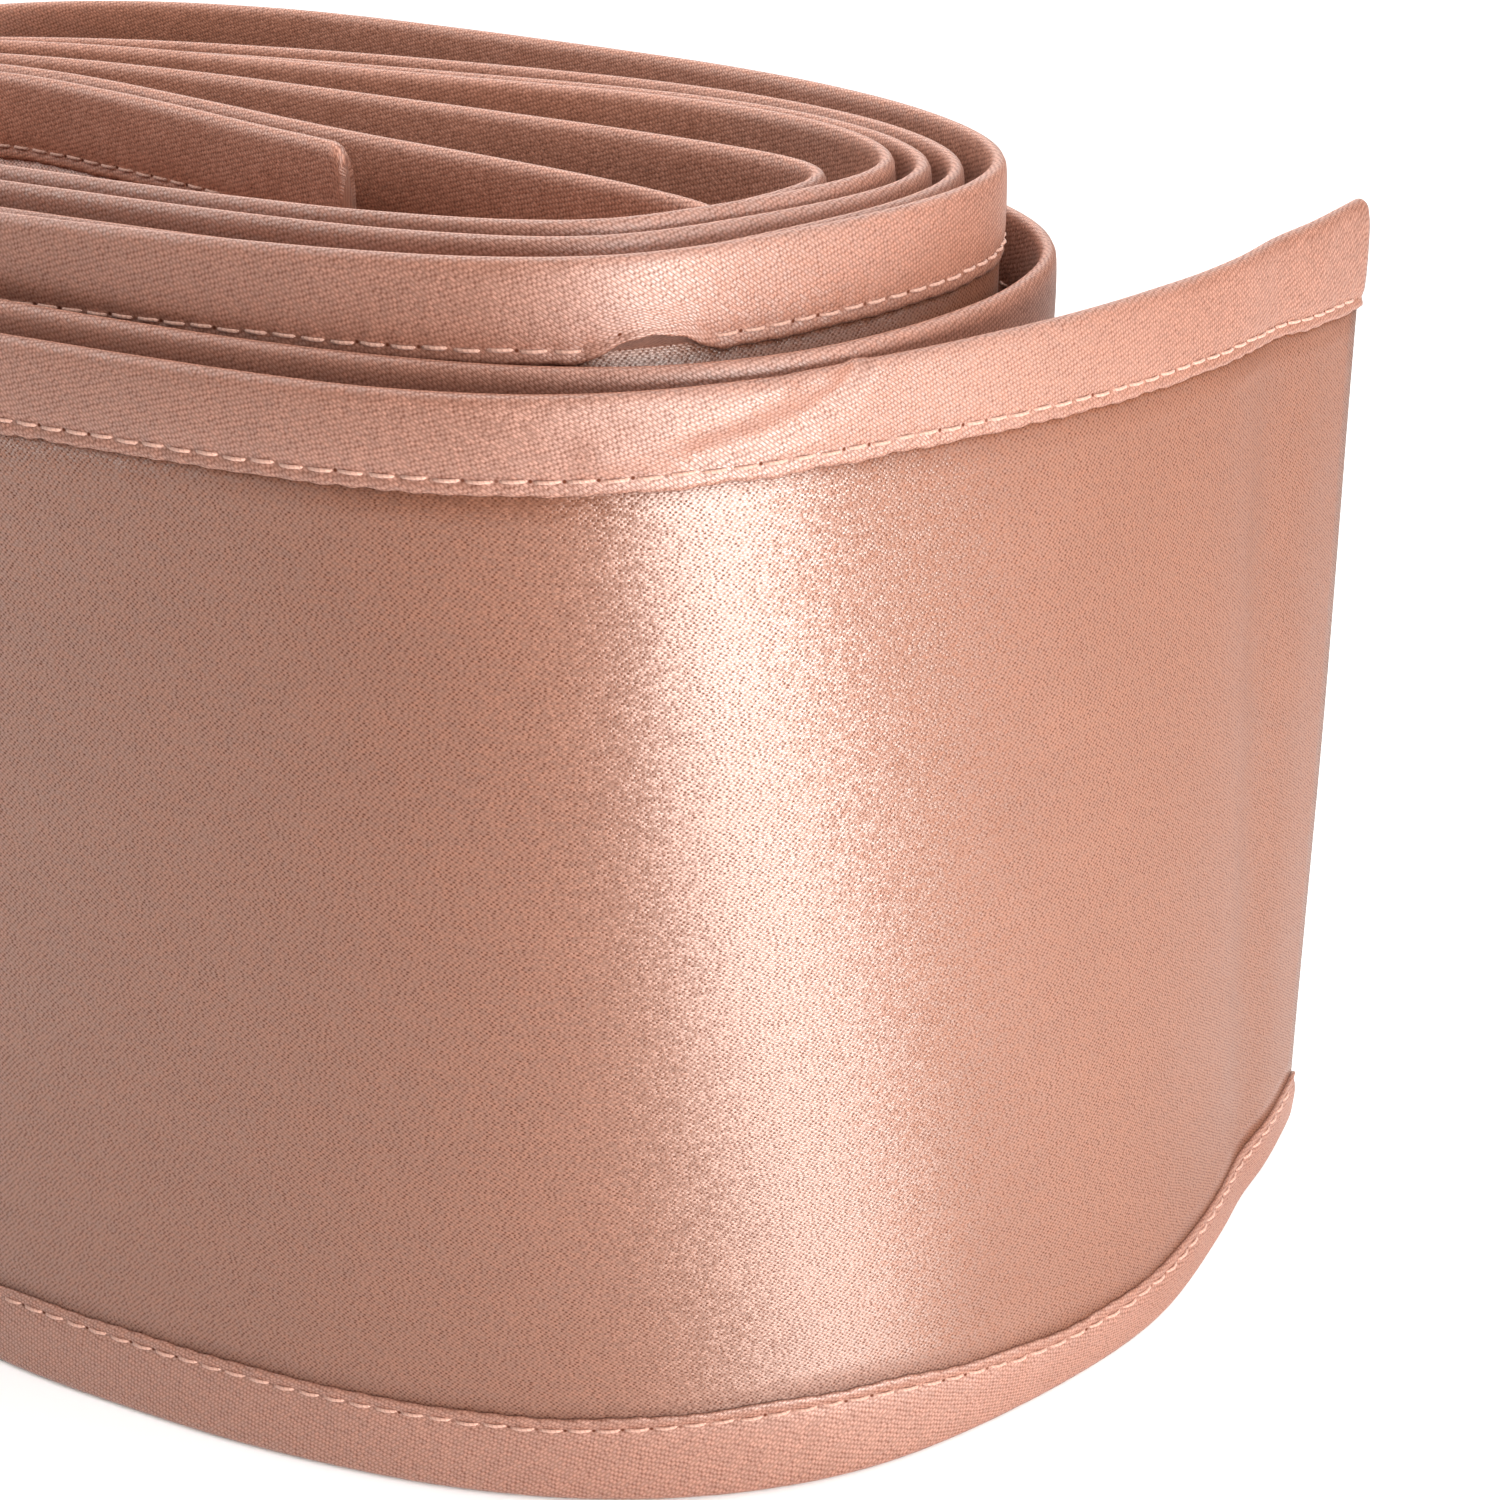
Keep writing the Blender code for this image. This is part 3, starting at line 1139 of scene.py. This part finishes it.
@dataclass(frozen=True)
class Topstitch:
    """The rows of stitches along both lips of both bindings."""

    path: WoundPath
    relief: Relief
    arch: LipArch
    thread: float = 0.30         # diameter
    corners: int = 6
    # each stitch's rings: their shares of the pitch, their girths and how far they rise
    shares: tuple[float, ...] = (0.06, 0.18, 0.50, 0.82, 0.94)
    girths: tuple[float, ...] = (0.50, 1.0, 1.05, 1.0, 0.50)
    rises: tuple[float, ...] = (-0.14, 0.07, 0.14, 0.07, -0.14)
    seat: float = 0.62           # from the belt's middle surface
    stray: float = 0.07
    end_margin: float = 0.4
    most_arch: float = 0.05      # past this share of the arch there is no stitch
    seed: int = 5

    def build(self, name: str, start: float, end: float, bindings: tuple[Binding, ...],
              finish: bpy.types.Material) -> bpy.types.Object:
        """Build the stitches of one stretch.

        Args:
            name: the piece's name.
            start: where it starts along the belt.
            end: where it ends.
            bindings: what they hold down.
            finish: the thread.

        Returns:
            The piece.
        """
        points, places = [], []
        rng = np.random.default_rng(self.seed + int(start))
        for binding in bindings:
            first = math.ceil((start + self.end_margin) / binding.pitch)
            last = math.floor((end - self.end_margin) / binding.pitch)
            holes = binding.pitch * np.arange(first, last)
            for side in Side:
                keep = holes
                if binding.edge is Edge.UPPER and side is Side.OUTER:
                    keep = holes[self.arch.share(holes + 0.5 * binding.pitch) < self.most_arch]
                tubes, marks = self.row(binding, side, keep, rng)
                points.append(tubes)
                places.append(marks)
        return skin(name, np.concatenate(points), np.concatenate(places), finish)

    def row(self, binding: Binding, side: Side, holes: np.ndarray,
            rng: np.random.Generator) -> tuple[np.ndarray, np.ndarray]:
        """Work out one row's stitches.

        Args:
            binding: what the row holds down.
            side: the belt's face.
            holes: where each stitch comes up.
            rng: the source of their small differences.

        Returns:
            Points and belt places by stitch, ring and corner.
        """
        share = np.array(self.shares)[None, :, None]
        angle = np.linspace(0.0, 2 * math.pi, self.corners, endpoint=False)[None, None, :]
        radius = 0.5 * self.thread * np.array(self.girths)[None, :, None]
        distance = holes[:, None, None] + binding.pitch * share
        shape = (len(holes), len(self.shares), self.corners)
        from_lip = binding.stitch_line + rng.uniform(-self.stray, self.stray, (len(holes), 1, 1))
        from_lip = from_lip + rng.uniform(-self.stray, self.stray, (len(holes), 1, 1)) * (share - 0.5)
        flat = np.broadcast_to(distance, shape).reshape(-1, 1)
        line = np.broadcast_to(from_lip, shape).reshape(-1, 1)
        seat = self.seat + binding.face(flat, line, side)
        height = binding.height(flat, line)
        seat = seat * side.value + self.relief.at(flat, height, fine=True)
        rise = np.broadcast_to(np.array(self.rises)[None, :, None], shape).reshape(-1, 1)
        spread = np.broadcast_to(radius, shape).reshape(-1, 1)
        turn = np.broadcast_to(angle, shape).reshape(-1, 1) * side.value
        height = height + spread * np.cos(turn)
        outward = seat + side.value * rise + spread * np.sin(turn)
        points = self.path.place(flat, height, outward).reshape(*shape, 3)
        around = np.broadcast_to(angle / (2 * math.pi), shape)
        along = np.broadcast_to(distance, shape)
        return points, np.stack((along, around, np.zeros(shape)), axis=-1)


@dataclass(frozen=True)
class Finishes:
    """The three finishes of the belt."""

    body: SatinFinish = SatinFinish(
        name="belt_satin",
        face=(0.200, 0.067, 0.030),
        # gap: painted shade in the weave's gaps
        gap=(0.078, 0.019, 0.008),
        blush=(0.227, 0.082, 0.041),
        # reverse: partly the matt reverse's own colour, partly painted light that lightens the hollow
        reverse=(0.52, 0.170, 0.080),
        roughness=0.43,
        anisotropic=0.85,
        sheen=0.05,
        specular=1.0,
        weave=SatinWeave(row_line=0.45),
    )
    bias: SatinFinish = SatinFinish(
        name="bias_satin",
        face=(0.272, 0.103, 0.058),
        # gap: painted shade in the weave's gaps and the needle holes
        gap=(0.092, 0.024, 0.011),
        blush=(0.302, 0.122, 0.075),
        # reverse: partly the matt reverse's own colour, partly painted light that lightens the hollow
        reverse=(0.46, 0.170, 0.092),
        roughness=0.53,
        anisotropic=0.0,
        sheen=0.12,
        specular=0.9,
        specular_tint=(1.0, 0.90, 0.85),
        weave=SatinWeave(slant=38.0, row_line=0.80, row_pitch=0.28, dot_depth=0.85),
        gap_depth=0.92,
        holes=True,
    )
    thread: ThreadFinish = ThreadFinish()


@dataclass
class WoundBelt:
    """The whole belt, stretch by stretch."""

    path: WoundPath = field(default_factory=WoundPath)
    finishes: Finishes = field(default_factory=Finishes)
    arch: LipArch = field(default_factory=LipArch)

    def build(self) -> None:
        """Build every stretch, hide the model's solids that it stands in for, and hang its pieces on the
        root.
        """
        relief = Relief(float(self.path.bounds[-1]))
        body = BeltBody(self.path, relief)
        upper = Binding(self.path, relief, self.arch, Edge.UPPER)
        lower = Binding(self.path, relief, self.arch, Edge.LOWER)
        stitches = Topstitch(self.path, relief, self.arch)
        satin = self.finishes.body.material()
        bias = self.finishes.bias.material()
        thread = self.finishes.thread.material()
        for name, start, end in zip(STRETCHES, self.path.bounds, self.path.bounds[1:]):
            panel = body.build(f"{name}_satin", start, end, satin)
            top = upper.build(f"{name}_upper_edge", start, end, bias)
            foot = lower.build(f"{name}_lower_edge", start, end, bias)
            rows = stitches.build(f"{name}_topstitch", start, end, (upper, lower), thread)
            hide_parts(f"{name}_body")
            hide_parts(f"{name}_top_binding")
            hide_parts(f"{name}_foot_binding")
            slots = {panel: "satin_body", top: "satin_binding", foot: "satin_binding", rows: "satin_binding"}
            for piece, slot in slots.items():
                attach(piece, "root")
                LOG.info("%s: %d faces", piece.name, len(piece.data.polygons))
            MM * self.path.width


@dataclass(frozen=True)
class Lamp:
    """A soft rectangular lamp."""

    name: str
    azimuth: float       # degrees from +X towards +Y
    elevation: float
    distance: float
    width: float
    height: float
    power: float
    aim: tuple[float, float, float] = (0.0, -0.01, 0.05)

    def build(self) -> None:
        """Put the lamp in the scene."""
        light = bpy.data.lights.new(self.name, "AREA")
        light.shape = "RECTANGLE"
        light.size, light.size_y = self.width, self.height
        light.energy = self.power
        lamp = bpy.data.objects.new(self.name, light)
        azimuth, elevation = math.radians(self.azimuth), math.radians(self.elevation)
        flat = math.cos(elevation)
        way = Vector((flat * math.cos(azimuth), flat * math.sin(azimuth), math.sin(elevation)))
        lamp.location = Vector(self.aim) + self.distance * way
        lamp.rotation_euler = way.to_track_quat("Z", "Y").to_euler()
        bpy.context.scene.collection.objects.link(lamp)


@dataclass(frozen=True)
class Studio:
    """A pale floor, soft lamps and the camera."""

    floor_size: float = 6.0
    floor_drop: float = 0.0001       # keeps it just below the belt's foot
    floor_colour: Colour = (0.93, 0.925, 0.92)
    sky: Colour = (1.0, 0.96, 0.93)
    sky_strength: float = 0.14
    lamps: tuple[Lamp, ...] = (
        Lamp("key_lamp", -50.0, 5.0, 0.44, 0.23, 0.15, 2.5),
        Lamp("lip_lamp", -50.0, 34.0, 0.50, 0.23, 0.15, 0.85),
        Lamp("side_lamp", 4.0, 48.0, 0.60, 0.36, 0.30, 1.2),
        Lamp("fill_lamp", 176.0, 34.0, 0.90, 0.50, 0.50, 4.0),
        Lamp("high_lamp", -46.0, 54.0, 0.80, 0.36, 0.30, 1.15),
        Lamp("top_lamp", 120.0, 80.0, 0.70, 0.30, 0.30, 2.3),
        Lamp("back_lamp", 90.0, 52.0, 0.80, 1.10, 0.70, 8.0, aim=(0.0, 0.32, 0.0)),
    )
    camera_place: tuple[float, float, float] = (0.03305, -0.24295, 0.157)
    camera_pitch: float = 25.0       # degrees below the horizon
    focal_share: float = 2650.0 / 1500.0
    sensor: float = 36.0
    nearest_view: float = 0.01

    def build(self) -> None:
        """Build the studio."""
        self.build_floor()
        for lamp in self.lamps:
            lamp.build()
        world = bpy.data.worlds.new("studio")
        world.use_nodes = True
        background = world.node_tree.nodes["Background"]
        background.inputs["Color"].default_value = (*self.sky, 1.0)
        background.inputs["Strength"].default_value = self.sky_strength
        bpy.context.scene.world = world
        bpy.context.scene.view_settings.view_transform = "Standard"
        self.build_camera()

    def build_floor(self) -> None:
        """Build the plain pale floor."""
        half = 0.5 * self.floor_size
        corners = [(-half, -half, 0.0), (half, -half, 0.0), (half, half, 0.0), (-half, half, 0.0)]
        mesh = bpy.data.meshes.new("studio_floor")
        mesh.from_pydata(corners, [], [(0, 1, 2, 3)])
        bench = Bench("studio_paper")
        bench.feed(bench.shader.inputs["Base Color"], self.floor_colour)
        bench.feed(bench.shader.inputs["Roughness"], 0.85)
        mesh.materials.append(bench.material)
        floor = bpy.data.objects.new("studio_floor", mesh)
        floor.location.z = -self.floor_drop
        bpy.context.scene.collection.objects.link(floor)

    def build_camera(self) -> None:
        """Place the camera close in front of the roll, looking down on it."""
        lens = bpy.data.cameras.new("camera")
        lens.sensor_width = self.sensor
        lens.lens = self.sensor * self.focal_share
        lens.clip_start = self.nearest_view
        camera = bpy.data.objects.new("camera", lens)
        camera.location = self.camera_place
        camera.rotation_euler = (math.radians(90.0 - self.camera_pitch), 0.0, 0.0)
        bpy.context.scene.collection.objects.link(camera)
        bpy.context.scene.camera = camera


def main() -> None:
    """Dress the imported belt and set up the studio."""
    logging.basicConfig(level=logging.INFO, format="%(message)s")
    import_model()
    WoundBelt().build()
    Studio().build()


if __name__ == "__main__":
    main()
